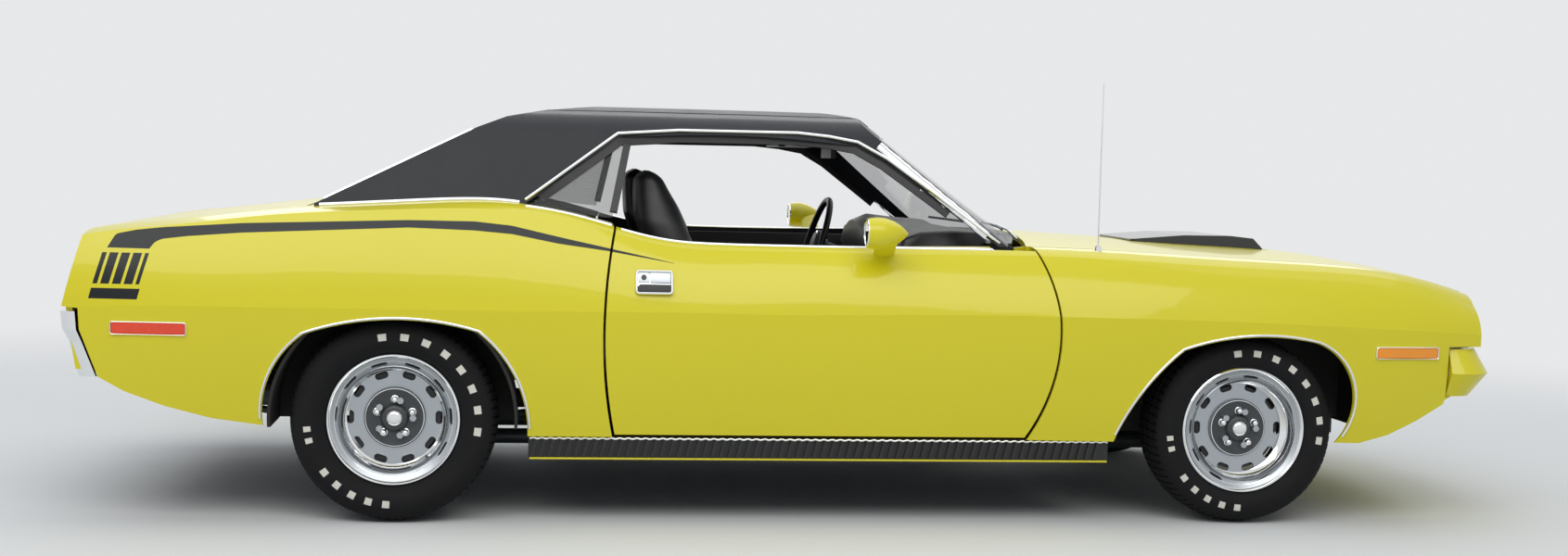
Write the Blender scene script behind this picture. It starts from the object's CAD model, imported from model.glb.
import math

import bmesh
import bpy
import numpy as np
from mathutils import Matrix, Vector
from mathutils.bvhtree import BVHTree


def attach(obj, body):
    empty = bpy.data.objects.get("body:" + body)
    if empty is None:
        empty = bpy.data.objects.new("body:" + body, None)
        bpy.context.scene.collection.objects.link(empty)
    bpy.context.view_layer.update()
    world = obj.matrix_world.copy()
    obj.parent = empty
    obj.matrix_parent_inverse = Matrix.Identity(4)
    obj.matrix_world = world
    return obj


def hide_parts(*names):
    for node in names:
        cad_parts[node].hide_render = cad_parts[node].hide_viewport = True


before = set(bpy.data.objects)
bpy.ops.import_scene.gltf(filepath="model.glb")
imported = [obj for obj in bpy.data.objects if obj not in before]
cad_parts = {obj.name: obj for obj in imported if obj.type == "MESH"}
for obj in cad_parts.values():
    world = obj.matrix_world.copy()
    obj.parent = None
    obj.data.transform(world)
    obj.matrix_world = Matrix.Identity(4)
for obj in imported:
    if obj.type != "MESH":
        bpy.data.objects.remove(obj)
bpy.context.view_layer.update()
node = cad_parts

# Axles, wheel faces and tyre radii in the row frame, in metres
R = -1.349
F = 1.394
FRONT_FACE, REAR_FACE = 0.856, 0.866
FRONT_RADIUS, REAR_RADIUS = 0.310, 0.322
# Headlamp centre, and how far the tail panel leans over its height
LAMP_Y, LAMP_Z = 0.634, 0.658
TAIL_LEAN, TAIL_HEIGHT = 0.058, 0.245


# Materials

def fill(tree, target, inputs):
    """Link a node's inputs where a socket is given and set them where a plain value is."""
    for key, value in inputs.items():
        if isinstance(value, bpy.types.NodeSocket):
            tree.links.new(value, target.inputs[key])
        else:
            target.inputs[key].default_value = value
    return target


def wire(tree, kind, inputs, operation=None):
    """New shader node with its inputs filled."""
    made = tree.nodes.new(kind)
    if operation:
        made.operation = operation
    return fill(tree, made, inputs)


def maths(tree, operation, *values):
    """Math node fed by sockets or plain numbers."""
    return wire(tree, "ShaderNodeMath", dict(enumerate(values)), operation).outputs[0]


def shader(name, colour, rough, grain, metal=0.0, mottle=0.05, mottle_scale=4.0, rough_spread=0.06,
           coat=0.0, alpha=1.0, sheen=0.0, emit=((1, 1, 1), 0.0), specular=0.5):
    """Principled material with a mottled colour, uneven gloss and a grain: (kind, scale, strength, depth)."""
    mat = bpy.data.materials.new(name)
    mat.use_nodes = True
    tree = mat.node_tree
    place = tree.nodes.new("ShaderNodeTexCoord").outputs["Object"]
    noise = wire(tree, "ShaderNodeTexNoise", {"Scale": mottle_scale, "Detail": 5.0, "Vector": place})
    noise = noise.outputs["Fac"]
    dark, light = [(*[min(1.0, c * share) for c in colour], 1) for share in (1 - mottle, 1 + mottle)]
    mix = wire(tree, "ShaderNodeMixRGB", {"Color1": dark, "Color2": light, "Fac": noise})
    spread = wire(tree, "ShaderNodeMapRange", {"To Min": max(0.0, rough - rough_spread),
                                               "To Max": min(1.0, rough + rough_spread), "Value": noise})
    kind, scale, strength, depth = grain
    texture = wire(tree, "ShaderNodeTexVoronoi" if kind == "cells" else "ShaderNodeTexNoise",
                   {"Scale": scale, "Vector": place})
    bump = wire(tree, "ShaderNodeBump", {"Strength": strength, "Distance": depth, "Height": texture.outputs[0]})
    fill(tree, tree.nodes["Principled BSDF"], {
        "Base Color": mix.outputs["Color"], "Roughness": spread.outputs["Result"],
        "Normal": bump.outputs["Normal"], "Metallic": metal, "Coat Weight": coat, "Coat Roughness": 0.04,
        "Alpha": alpha, "Sheen Weight": sheen, "Specular IOR Level": specular,
        "Emission Color": (*emit[0], 1), "Emission Strength": emit[1]})
    return mat


def object_axes(tree, output="Object"):
    """Object-space position or normal split into its three parts."""
    coord = tree.nodes.new("ShaderNodeTexCoord")
    return wire(tree, "ShaderNodeSeparateXYZ", {"Vector": coord.outputs[output]}).outputs


def mask_range(tree, mask, socket, outside, inside):
    """Drive one of the shader's sockets from one value outside a mask to another inside it."""
    spread = wire(tree, "ShaderNodeMapRange", {"To Min": outside, "To Max": inside, "Value": mask})
    fill(tree, tree.nodes["Principled BSDF"], {socket: spread.outputs["Result"]})


def mask_colour(tree, mask, colour):
    """Lay a plain dark colour over the base colour inside a mask."""
    base = tree.nodes["Principled BSDF"].inputs["Base Color"]
    mix = wire(tree, "ShaderNodeMixRGB",
               {"Fac": mask, "Color1": base.links[0].from_socket, "Color2": (*colour, 1)})
    tree.links.new(mix.outputs["Color"], base)


YELLOW = (0.72, 0.64, 0.012)
PAINT_COAT = 0.45
LAMP_COAT, LAMP_METAL = 0.8, 0.35
# Side stripe: its span, the box of its curves, and both edges as (ahead of the rear axle, height)
STRIPE_HALF = 0.862
STRIPE_X = (R - 0.95, R + 0.95)
STRIPE_Z = (0.65, 1.0)
STRIPE_TOP = [(-0.861, 0.841), (-0.838, 0.883), (-0.778, 0.896), (-0.702, 0.905), (-0.462, 0.923),
              (0.037, 0.943), (0.238, 0.943), (0.354, 0.932), (0.500, 0.900), (0.617, 0.876), (0.863, 0.825)]
STRIPE_BOTTOM = [(-0.863, 0.841), (-0.732, 0.840), (-0.724, 0.858), (-0.701, 0.870), (-0.625, 0.880),
                 (-0.462, 0.894), (0.038, 0.920), (0.239, 0.915), (0.355, 0.906), (0.501, 0.879),
                 (0.647, 0.860), (0.863, 0.824)]
# Blocks under the stripe's end: lean with height, rear edge, pitch and gap of the bars
BLOCK_LEAN, BLOCK_REAR, BAR_PITCH, BAR_GAP = -0.255, R - 0.8735 - 0.211, 0.0175, 0.0045


def stripe_mask(tree, axes):
    """One where the side stripe and its end blocks lie, from side-view curves over x."""
    def height(points):
        share = wire(tree, "ShaderNodeMapRange",
                     {"From Min": STRIPE_X[0], "From Max": STRIPE_X[1], "Value": axes["X"]})
        curve = wire(tree, "ShaderNodeFloatCurve", {"Value": share.outputs["Result"]})
        spots = [((R + x - STRIPE_X[0]) / (STRIPE_X[1] - STRIPE_X[0]),
                  (z - STRIPE_Z[0]) / (STRIPE_Z[1] - STRIPE_Z[0])) for x, z in points]
        line = curve.mapping.curves[0]
        line.points[0].location = spots[0]
        line.points[1].location = spots[-1]
        for spot in spots[1:-1]:
            line.points.new(*spot)
        for spot in line.points:
            spot.handle_type = "VECTOR"
        curve.mapping.update()
        return maths(tree, "MULTIPLY_ADD", curve.outputs[0], STRIPE_Z[1] - STRIPE_Z[0], STRIPE_Z[0])

    def between(value, low, high):
        return maths(tree, "MULTIPLY", maths(tree, "GREATER_THAN", value, low),
                     maths(tree, "LESS_THAN", value, high))

    band = maths(tree, "MULTIPLY", between(axes["Z"], height(STRIPE_BOTTOM), height(STRIPE_TOP)),
                 between(axes["X"], R - STRIPE_HALF, R + STRIPE_HALF))
    # The blocks lean with the tail, so they are tested along slanted lines
    slanted = maths(tree, "ADD", axes["X"], maths(tree, "MULTIPLY", axes["Z"], BLOCK_LEAN))
    bars = maths(tree, "GREATER_THAN", maths(tree, "PINGPONG", slanted, BAR_PITCH), BAR_GAP)
    upper = maths(tree, "MULTIPLY", between(slanted, BLOCK_REAR, R - 0.734 - 0.211),
                  between(axes["Z"], 0.733, 0.827))
    foot = maths(tree, "MULTIPLY", between(slanted, BLOCK_REAR, R - 0.728 - 0.211),
                 between(axes["Z"], 0.688, 0.720))
    return maths(tree, "MAXIMUM", band, maths(tree, "MAXIMUM", maths(tree, "MULTIPLY", upper, bars), foot))


def paint(name, striped=False):
    """Body paint under clear lacquer; striped panels carry the side stripe and are black inside."""
    mat = shader(name, YELLOW, 0.30, ("noise", 900, 0.015, 0.001), mottle=0.02, mottle_scale=2.0,
                 rough_spread=0.04, coat=PAINT_COAT, specular=0.30)
    if striped:
        tree = mat.node_tree
        axes = object_axes(tree)
        outwards = maths(tree, "MULTIPLY", object_axes(tree, "Normal")["Y"], maths(tree, "SIGN", axes["Y"]))
        mask = maths(tree, "MAXIMUM", stripe_mask(tree, axes), maths(tree, "LESS_THAN", outwards, -0.35))
        mask_colour(tree, mask, (0.007, 0.009, 0.011))
        mask_range(tree, mask, "Coat Weight", PAINT_COAT, 0.02)
    return mat


def lamp_look():
    """Ribbed glass on the lamps' faces and a black shell behind them."""
    mat = shader("lamp_glass", (0.75, 0.78, 0.80), 0.10, ("cells", 130, 0.35, 0.002), coat=LAMP_COAT,
                 metal=LAMP_METAL)
    tree = mat.node_tree
    axes = object_axes(tree)
    across = maths(tree, "SUBTRACT", maths(tree, "ABSOLUTE", axes["Y"]), LAMP_Y)
    up = maths(tree, "SUBTRACT", axes["Z"], LAMP_Z)
    reach = maths(tree, "SQRT", maths(tree, "ADD", maths(tree, "MULTIPLY", across, across),
                                      maths(tree, "MULTIPLY", up, up)))
    shell = maths(tree, "MAXIMUM", maths(tree, "GREATER_THAN", reach, 0.0612),
                  maths(tree, "LESS_THAN", axes["X"], F + 0.745))
    mask_colour(tree, shell, (0.010, 0.010, 0.011))
    mask_range(tree, shell, "Coat Weight", LAMP_COAT, 0.05)
    mask_range(tree, shell, "Metallic", LAMP_METAL, 0.0)
    return mat


def bay_look():
    """Body colour inside the engine bay, dark undercoat on the rails and the aprons' wheel side."""
    mat = shader("bay_paint", (0.42, 0.33, 0.008), 0.55, ("noise", 300, 0.08, 0.001), mottle=0.15,
                 mottle_scale=6, coat=0.1)
    spots = [v.co for v in node["front_structure"].data.vertices]
    apron = [abs(c.y) for c in spots if 0.46 < abs(c.y) < 0.52] or [0.488]
    ledge = [c.z for c in spots if 0.75 < c.z < 0.79 and abs(c.y) > 0.52] or [0.774]
    tree = mat.node_tree
    axes = object_axes(tree)
    outside = maths(tree, "GREATER_THAN", maths(tree, "ABSOLUTE", axes["Y"]), (min(apron) + max(apron)) / 2)
    below = maths(tree, "LESS_THAN", axes["Z"], (min(ledge) + max(ledge)) / 2)
    rails = maths(tree, "LESS_THAN", axes["Z"], 0.45)
    mask_colour(tree, maths(tree, "MAXIMUM", rails, maths(tree, "MULTIPLY", outside, below)),
                (0.015, 0.014, 0.013))
    return mat


body_paint = paint("body_paint")
striped_paint = paint("striped_paint", striped=True)
bay_paint = bay_look()
vinyl = shader("vinyl", (0.006, 0.007, 0.011), 0.50, ("cells", 520, 0.35, 0.0012), mottle=0.15,
               mottle_scale=9, coat=0.04, specular=0.36)
chrome = shader("chrome", (0.83, 0.84, 0.85), 0.07, ("noise", 40, 0.01, 0.001), metal=1.0, mottle=0.02,
                rough_spread=0.03)
satin_steel = shader("satin_steel", (0.42, 0.45, 0.48), 0.34, ("noise", 700, 0.03, 0.001), metal=0.85,
                     mottle=0.06, mottle_scale=14, coat=0.3)
dark_steel = shader("dark_steel", (0.055, 0.060, 0.065), 0.42, ("noise", 600, 0.06, 0.001), metal=0.3,
                    mottle=0.15, mottle_scale=20)
rubber = shader("rubber", (0.008, 0.008, 0.009), 0.74, ("noise", 420, 0.15, 0.001), mottle=0.2,
                mottle_scale=14, rough_spread=0.1, specular=0.20)
white_rubber = shader("white_rubber", (0.72, 0.70, 0.64), 0.6, ("noise", 500, 0.1, 0.001), mottle=0.06,
                      mottle_scale=60)
black_plastic = shader("black_plastic", (0.010, 0.010, 0.011), 0.45, ("noise", 800, 0.12, 0.001),
                       mottle=0.2, mottle_scale=20)
black_gloss = shader("black_gloss", (0.008, 0.008, 0.009), 0.22, ("noise", 500, 0.02, 0.001), mottle=0.1,
                     coat=0.6)
glass = shader("clear_glass", (0.020, 0.024, 0.023), 0.03, ("noise", 6, 0.004, 0.001), mottle=0.1,
               rough_spread=0.01, coat=0.3, alpha=0.30, specular=0.3)
engine_paint = shader("engine_orange", (0.55, 0.13, 0.01), 0.45, ("noise", 200, 0.1, 0.001), mottle=0.1,
                      mottle_scale=12, coat=0.3)
white_paint = shader("white_paint", (0.74, 0.74, 0.72), 0.45, ("noise", 300, 0.03, 0.001), mottle=0.03,
                     mottle_scale=20)
lamp_glass = lamp_look()
red_lens = shader("red_lens", (0.42, 0.006, 0.004), 0.18, ("cells", 240, 0.35, 0.001), mottle=0.15,
                  coat=0.25, specular=0.25)
amber_lens = shader("amber_lens", (0.80, 0.26, 0.004), 0.16, ("cells", 240, 0.35, 0.001), mottle=0.15,
                    coat=0.5, emit=((1.0, 0.36, 0.01), 0.12))
lit_red = shader("lit_red", (0.55, 0.020, 0.004), 0.16, ("cells", 240, 0.35, 0.001), mottle=0.3,
                 mottle_scale=60, coat=0.5, emit=((1.0, 0.10, 0.005), 0.22))
leather = shader("leather", (0.010, 0.010, 0.012), 0.42, ("cells", 380, 0.3, 0.001), mottle=0.2,
                 mottle_scale=18, sheen=0.1)
cast = shader("cast", (0.045, 0.045, 0.048), 0.62, ("noise", 160, 0.3, 0.002), metal=0.4, mottle=0.3,
              mottle_scale=18)
undercoat = shader("undercoat", (0.018, 0.017, 0.016), 0.8, ("noise", 90, 0.4, 0.002), mottle=0.3,
                   mottle_scale=10)
carpet = shader("carpet", (0.012, 0.012, 0.013), 0.95, ("noise", 700, 0.8, 0.003), mottle=0.35,
                mottle_scale=160, sheen=0.4)
mirror_glass = shader("mirror_glass", (0.86, 0.88, 0.90), 0.02, ("noise", 10, 0.003, 0.001), metal=1.0,
                      mottle=0.01, rough_spread=0.01)

looks = {
    striped_paint: ["quarter_panels", "door_right", "door_left", "front_fenders"],
    body_paint: ["hood", "decklid", "back_panel", "front_bumper", "front_valance", "mirror_right",
                 "mirror_left", "tail_panel"],
    bay_paint: ["front_structure"],
    undercoat: ["floor_pan", "wheelhouses"],
    vinyl: ["roof"],
    glass: ["window_glass"],
    chrome: ["rear_bumper", "handle_right", "handle_left", "antenna"],
    satin_steel: ["rim_front_right", "rim_front_left", "rim_rear_right", "rim_rear_left"],
    rubber: ["tyre_front_right", "tyre_front_left", "tyre_rear_right", "tyre_rear_left"],
    black_plastic: ["grille", "rocker_trim", "dash", "steering_wheel", "radiator", "inside_mirror",
                    "steering_column", "cowl"],
    black_gloss: ["scoop"],
    red_lens: ["tail_lamps"],
    lit_red: ["rear_markers"],
    amber_lens: ["front_markers"],
    leather: ["front_cushions", "front_backs", "rear_cushion", "rear_back"],
    cast: ["engine", "driveline", "rear_axle", "leaf_springs", "front_suspension", "knuckle_right",
           "knuckle_left", "door_hinges"],
    dark_steel: ["fuel_tank", "exhaust"],
    lamp_glass: ["head_lamps"],
}
for mat, names in looks.items():
    for name in names:
        node[name].data.materials.clear()
        node[name].data.materials.append(mat)

# The slot that a piece of each look takes unless its call names another
slot_looks = {
    "chrome": [chrome],
    "cast_metal": [satin_steel, dark_steel, black_gloss, engine_paint, cast],
    "black_plastic": [black_plastic, white_paint],
    "seat_leather": [leather, carpet],
    "tyre_rubber": [rubber, white_rubber],
    "body_paint": [body_paint],
    "roof_vinyl": [vinyl],
    "amber_lens": [amber_lens],
    "mirror_glass": [mirror_glass],
}
slot_of = {mat.name: slot for slot, mats in slot_looks.items() for mat in mats}


# Geometry helpers

NEAR_SIDE = 0.5
DOWN = Vector((0, 0, -1))


def add_mesh(name, verts, faces, mat=chrome, body="body", slot=None, smooth=True, sharp=35):
    """Piece with double points merged and its normals turned outwards, riding on a body."""
    mesh = bpy.data.meshes.new(name)
    mesh.from_pydata([tuple(v) for v in verts], [], faces)
    work = bmesh.new()
    work.from_mesh(mesh)
    bmesh.ops.remove_doubles(work, verts=work.verts[:], dist=1e-6)
    bmesh.ops.recalc_face_normals(work, faces=work.faces[:])
    work.to_mesh(mesh)
    work.free()
    mesh.update()
    mesh.polygons.foreach_set("use_smooth", [smooth] * len(mesh.polygons))
    if smooth:
        mesh.set_sharp_from_angle(angle=math.radians(sharp))
    obj = bpy.data.objects.new(name, mesh)
    bpy.context.scene.collection.objects.link(obj)
    mesh.materials.append(mat)
    slot = slot or slot_of[mat.name]
    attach(obj, body)
    return obj


def grid_faces(rings, n, around=True, along=False, flip=False):
    """Quads between rings of n points; around closes each ring, along joins the last ring to the first."""
    faces = []
    for k in range(rings if along else rings - 1):
        here, there = k * n, (k + 1) % rings * n
        for i in range(n if around else n - 1):
            quad = (here + i, here + (i + 1) % n, there + (i + 1) % n, there + i)
            faces.append(quad[::-1] if flip else quad)
    return faces


def spaced(start, span, steps):
    """Evenly spaced values, both ends included."""
    return [start + span * k / steps for k in range(steps + 1)]


def arc3(start, middle, end, count):
    """Points along the circle arc through three points, both ends included."""
    (ax, ay), (bx, by), (cx, cy) = start, middle, end
    d = 2 * (ax * (by - cy) + bx * (cy - ay) + cx * (ay - by))
    aa, bb, cc = ax * ax + ay * ay, bx * bx + by * by, cx * cx + cy * cy
    ux = (aa * (by - cy) + bb * (cy - ay) + cc * (ay - by)) / d
    uy = (aa * (cx - bx) + bb * (ax - cx) + cc * (bx - ax)) / d
    radius = math.hypot(ax - ux, ay - uy)
    first, middle, last = [math.atan2(y - uy, x - ux) for x, y in ((ax, ay), (bx, by), (cx, cy))]
    full = 2 * math.pi
    turn = (last - first) % full
    if (middle - first) % full > turn:
        turn -= full
    return [(ux + radius * math.cos(first + turn * i / (count - 1)),
             uy + radius * math.sin(first + turn * i / (count - 1))) for i in range(count)]


def bvh_of(name):
    mesh = node[name].data
    return BVHTree.FromPolygons([v.co.copy() for v in mesh.vertices], [tuple(p.vertices) for p in mesh.polygons])


def side_hit(tree, x, z, side):
    """Point and outward normal on the skin seen square on from one side, or None."""
    hit, normal, _, _ = tree.ray_cast(Vector((x, side * 1.3, z)), Vector((0, -side, 0)))
    if hit is None:
        return None
    return hit, (-normal if normal.y * side < 0 else normal)


def near_hit(tree, x, z, side):
    """Side hit on the near half of the body, or None."""
    found = side_hit(tree, x, z, side)
    return found if found and found[0].y * side > NEAR_SIDE else None


def end_hit(tree, y, z, from_x):
    """Point seen square on from the nose, or from the tail where from_x is negative, or None."""
    return tree.ray_cast(Vector((from_x, y, z)), Vector((-math.copysign(1, from_x), 0, 0)))[0]


def outer_edge(tree, side, heights, from_x, start_y, pitch, tries, wanted, inset):
    """Outermost wanted point at each height, seen from the nose or the tail and moved inwards."""
    edge = []
    for z in heights:
        for step in range(tries):
            hit = end_hit(tree, side * (start_y - pitch * step), z, from_x)
            if hit is not None and wanted(hit.x):
                edge.append(hit + Vector((0, -side * inset, 0)))
                break
    return edge


def eased(found, passes=4):
    """Points of a list of hits, and their normals smoothed along the list."""
    normals = [normal for _, normal in found]
    last = len(normals) - 1
    for _ in range(passes):
        normals = [(normals[max(0, i - 1)] + normals[i] + normals[min(last, i + 1)]).normalized()
                   for i in range(last + 1)]
    return [point for point, _ in found], normals


def refine(points, step):
    """Polyline with extra points, no two further apart than step."""
    out = [Vector(points[0])]
    for a, b in zip(points, points[1:]):
        a, b = Vector(a), Vector(b)
        count = max(1, int((b - a).length / step))
        out += [a.lerp(b, (i + 1) / count) for i in range(count)]
    return out


def on_skin(tree, points, side, step=0.02):
    """Path on the outer skin through side-view points, with eased normals."""
    spots = refine([(x, 0, z) for x, z in points], step)
    found = [near_hit(tree, spot.x, spot.z, side) for spot in spots]
    return eased([hit for hit in found if hit])


def from_above(tree, xs, y):
    """Path on the top skin along one y, with eased normals."""
    found = [tree.ray_cast(Vector((x, y, 2)), DOWN)[:2] for x in xs]
    return eased([(hit, normal if normal.z > 0 else -normal) for hit, normal in found if hit is not None])


def settle(path, side, reach=5):
    """Keep a side path on the outermost skin and even out its steps in y."""
    near = [max(p.y * side for p in path[max(0, i - 2):i + 3]) for i in range(len(path))]
    settled = []
    for i, point in enumerate(path):
        window = near[max(0, i - reach):i + reach + 1]
        settled.append(Vector((point.x, side * sum(window) / len(window), point.z)))
    return settled


def half_round(width, height, sink=0.001):
    """Section of a domed moulding."""
    dome = [(-width / 2 * math.cos(math.pi * i / 6), height * math.sin(math.pi * i / 6)) for i in range(7)]
    return [(-width / 2, -sink)] + dome + [(width / 2, -sink)]


def flat_bar(half, low, high):
    """Section of a flat seal."""
    return [(-half, low), (-half, high), (half, high), (half, low)]


def rounded_loop(low, high, radius):
    """Rectangle with round corners as plane points."""
    (u0, v0), (u1, v1) = low, high
    points = []
    for cu, cv, start in ((u1 - radius, v1 - radius, 0), (u0 + radius, v1 - radius, 90),
                          (u0 + radius, v0 + radius, 180), (u1 - radius, v0 + radius, 270)):
        for angle in spaced(start, 90, 5):
            a = math.radians(angle)
            points.append((cu + radius * math.cos(a), cv + radius * math.sin(a)))
    return points


def tangents(points, closed):
    """Unit direction of a path at each of its points."""
    last = len(points) - 1
    found = []
    for i, point in enumerate(points):
        before = points[i - 1] if (i or closed) else point
        after = points[(i + 1) % (last + 1)] if (i < last or closed) else point
        found.append((Vector(after) - Vector(before)).normalized())
    return found


def sweep(name, points, normals, section, mat=chrome, body="body", slot=None, closed=False):
    """Moulding along a path: section points are (across, out); one normal may serve the whole path."""
    if not isinstance(normals, list):
        normals = [normals] * len(points)
    verts = []
    for point, tangent, out in zip(points, tangents(points, closed), normals):
        out = Vector(out)
        out = (out - tangent * out.dot(tangent)).normalized()
        across = tangent.cross(out)
        verts += [Vector(point) + across * u + out * v for u, v in section]
    n = len(section)
    faces = grid_faces(len(points), n, along=closed)
    if not closed:
        faces += [tuple(range(n)), tuple(reversed(range(len(verts) - n, len(verts))))]
    add_mesh(name, verts, faces, mat, body, slot, sharp=40)


def tube(name, points, radius, mat=chrome, body="body", slot=None, closed=False, sides=10):
    """Round bar along a path."""
    normals = []
    for tangent in tangents(points, closed):
        carried = normals[-1] if normals else tangent.orthogonal()
        normals.append((carried - tangent * carried.dot(tangent)).normalized())
    angles = spaced(0, 2 * math.pi, sides)[:-1]
    section = [(radius * math.cos(a), radius * math.sin(a)) for a in angles]
    sweep(name, points, normals, section, mat, body, slot, closed)


def turned(name, profile, origin, axis, mat=chrome, body="body", slot=None, steps=48, closed=False):
    """Turned piece about any axis: profile points are (along the axis, radius)."""
    axis = Vector(axis).normalized()
    across = axis.orthogonal().normalized()
    third = axis.cross(across)
    verts = []
    for a in spaced(0, 2 * math.pi, steps)[:-1]:
        spoke = across * math.cos(a) + third * math.sin(a)
        verts += [Vector(origin) + axis * along + spoke * radius for along, radius in profile]
    add_mesh(name, verts, grid_faces(steps, len(profile), closed, True), mat, body, slot)


def block(name, low, high, mat, body="body", slot=None, bevel=0.004, turn=None):
    """Box between two corners with rounded edges; turn is (axis letter, degrees) about its centre."""
    low, high = [Vector(c) for c in zip(*[sorted(pair) for pair in zip(low, high)])]
    size = high - low
    work = bmesh.new()
    bmesh.ops.create_cube(work, size=1.0)
    bmesh.ops.scale(work, vec=size, verts=work.verts[:])
    bmesh.ops.bevel(work, geom=work.edges[:], offset=min(bevel, 0.45 * min(size)), segments=3, profile=0.5,
                    affect="EDGES")
    place = Matrix.Translation((low + high) / 2)
    if turn:
        place = place @ Matrix.Rotation(math.radians(turn[1]), 4, turn[0])
    bmesh.ops.transform(work, matrix=place, verts=work.verts[:])
    work.verts.index_update()
    verts = [v.co.copy() for v in work.verts]
    faces = [tuple(v.index for v in f.verts) for f in work.faces]
    work.free()
    add_mesh(name, verts, faces, mat, body, slot)


# Wheels: name, side, axle, tyre radius, tyre width, rim face

WHEELS = [
    ("front_right", -1, F, FRONT_RADIUS, 0.226, FRONT_FACE),
    ("front_left", 1, F, FRONT_RADIUS, 0.226, FRONT_FACE),
    ("rear_right", -1, R, REAR_RADIUS, 0.256, REAR_FACE),
    ("rear_left", 1, R, REAR_RADIUS, 0.256, REAR_FACE),
]
RIM_WIDTH, RIM_RADIUS = 0.190, 0.206
SHOULDER_IN, SHOULDER_DROP = 0.026, 0.012
# Tread: cross grooves round the tyre, their depth, and the depth of the grooves along it
PITCHES, CUT, GROOVE = 72, 0.005, 0.007
CUT_SHARES = (0.0, 0.03, 0.20, 0.23)
# Light blocks on the tyre's wall as (angle, span) in degrees
WALL_BLOCKS = [(98 - i * 15.0, 5.6) for i in range(8)] + [(186 + i * 8.0, 3.6) for i in range(2)]
WALL_BLOCKS += [(218 + i * 12.0, 4.8) for i in range(5)]
LUG_CIRCLE = 0.05715
# Turned wheel trim as (inwards from the rim face, radius)
TRIM_RING = [(0.004, 0.2075), (-0.002, 0.2065), (-0.0045, 0.203), (-0.004, 0.199), (0.0005, 0.1945),
             (0.008, 0.190), (0.012, 0.1805), (0.020, 0.1775), (0.034, 0.172), (0.047, 0.163), (0.056, 0.153),
             (0.059, 0.1495), (0.0605, 0.1475), (0.062, 0.1485), (0.058, 0.156), (0.048, 0.166),
             (0.034, 0.1745), (0.020, 0.1805), (0.010, 0.182)]
CENTRE_PLATE = [(0.0575, 0.0945), (0.0555, 0.0935), (0.0548, 0.091), (0.0556, 0.0885), (0.0556, 0.044),
                (0.052, 0.042), (0.044, 0.040), (0.040, 0.036), (0.038, 0.030), (0.0375, 0.024),
                (0.050, 0.010), (0.060, 0.050)]
CENTRE_RING = [(0.0558, 0.0885), (0.0542, 0.0895), (0.0542, 0.0912), (0.0556, 0.0925), (0.058, 0.091)]
CENTRE_CAP = [(0.040, 0.0255), (0.036, 0.0250), (0.031, 0.0225), (0.0275, 0.017), (0.026, 0.010),
              (0.0255, 0.0), (0.040, 0.0)]
LUG = [(0.0556, 0.0125), (0.0535, 0.0125), (0.0525, 0.0105), (0.042, 0.0100), (0.037, 0.0085), (0.034, 0.005),
       (0.0332, 0.0)]


def lathe(name, profile, axle, face, side, mat, body, steps, closed):
    """Ring turned about a wheel's axle."""
    verts = []
    for a in spaced(0, 2 * math.pi, steps)[:-1]:
        verts += [(axle[0] + r * math.cos(a), side * (face - t), axle[1] + r * math.sin(a)) for t, r in profile]
    add_mesh(name, verts, grid_faces(steps, len(profile), closed, True, side < 0), mat, body)


def wall_arc(radius, width, count):
    """Belly radius, and the outer wall from the rim to the tread as (inwards, radius)."""
    overhang = (width - RIM_WIDTH) / 2
    belly = (RIM_RADIUS + radius) / 2 - 0.006
    return belly, arc3((0.002, RIM_RADIUS + 0.002), (-overhang, belly),
                       (-overhang + SHOULDER_IN, radius - SHOULDER_DROP), count)


def tyre_profile(radius, width):
    """Side, tread and side again as (inwards, radius, kind), kind 1 where cross grooves cut."""
    wall = wall_arc(radius, width, 17)[1]
    side = [(t + (0.0012 if i in (4, 12) else 0.0), r, 0) for i, (t, r) in enumerate(wall)]
    overhang = (width - RIM_WIDTH) / 2
    start, end = -overhang + SHOULDER_IN, RIM_WIDTH + overhang - SHOULDER_IN
    centre = RIM_WIDTH / 2
    edges = [start, start + 0.004]
    for share in (0.20, 0.40, 0.60, 0.80):
        edges += [start + (end - start) * share + gap for gap in (-0.0045, -0.0042, 0.0042, 0.0045)]
    edges += [end - 0.004, end]
    crown = []
    for i, t in enumerate(edges):
        inside = 2 <= i < len(edges) - 2 and (i - 2) % 4 in (1, 2)
        share = (t - centre) / (end - centre)
        crown.append((t, radius - SHOULDER_DROP * share * share - (GROOVE if inside else 0.0), int(not inside)))
    far = [(RIM_WIDTH - t, r, kind) for t, r, kind in reversed(side)]
    return side[:-1] + crown + far[1:] + [(RIM_WIDTH - 0.013, 0.1885, 0), (0.013, 0.1885, 0)]


def make_tyre(name, side, axle_x, radius, width, face):
    profile = tyre_profile(radius, width)
    steps = PITCHES * len(CUT_SHARES)
    verts = []
    for k in range(steps):
        pitch, column = divmod(k, len(CUT_SHARES))
        for t, r, kind in profile:
            skew = 0.6 * (t - RIM_WIDTH / 2) / RIM_WIDTH * (1 if t > RIM_WIDTH / 2 else -1)
            a = 2 * math.pi * (pitch + CUT_SHARES[column] + skew) / PITCHES
            r -= CUT if kind and column in (1, 2) else 0.0
            verts.append((axle_x + r * math.cos(a), side * (face - t), radius + r * math.sin(a)))
    faces = grid_faces(steps, len(profile), True, True, side < 0)
    tyre = add_mesh("tread_tyre_" + name, verts, faces, rubber, "wheel_" + name, sharp=50)
    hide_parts("tyre_" + name)


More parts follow.
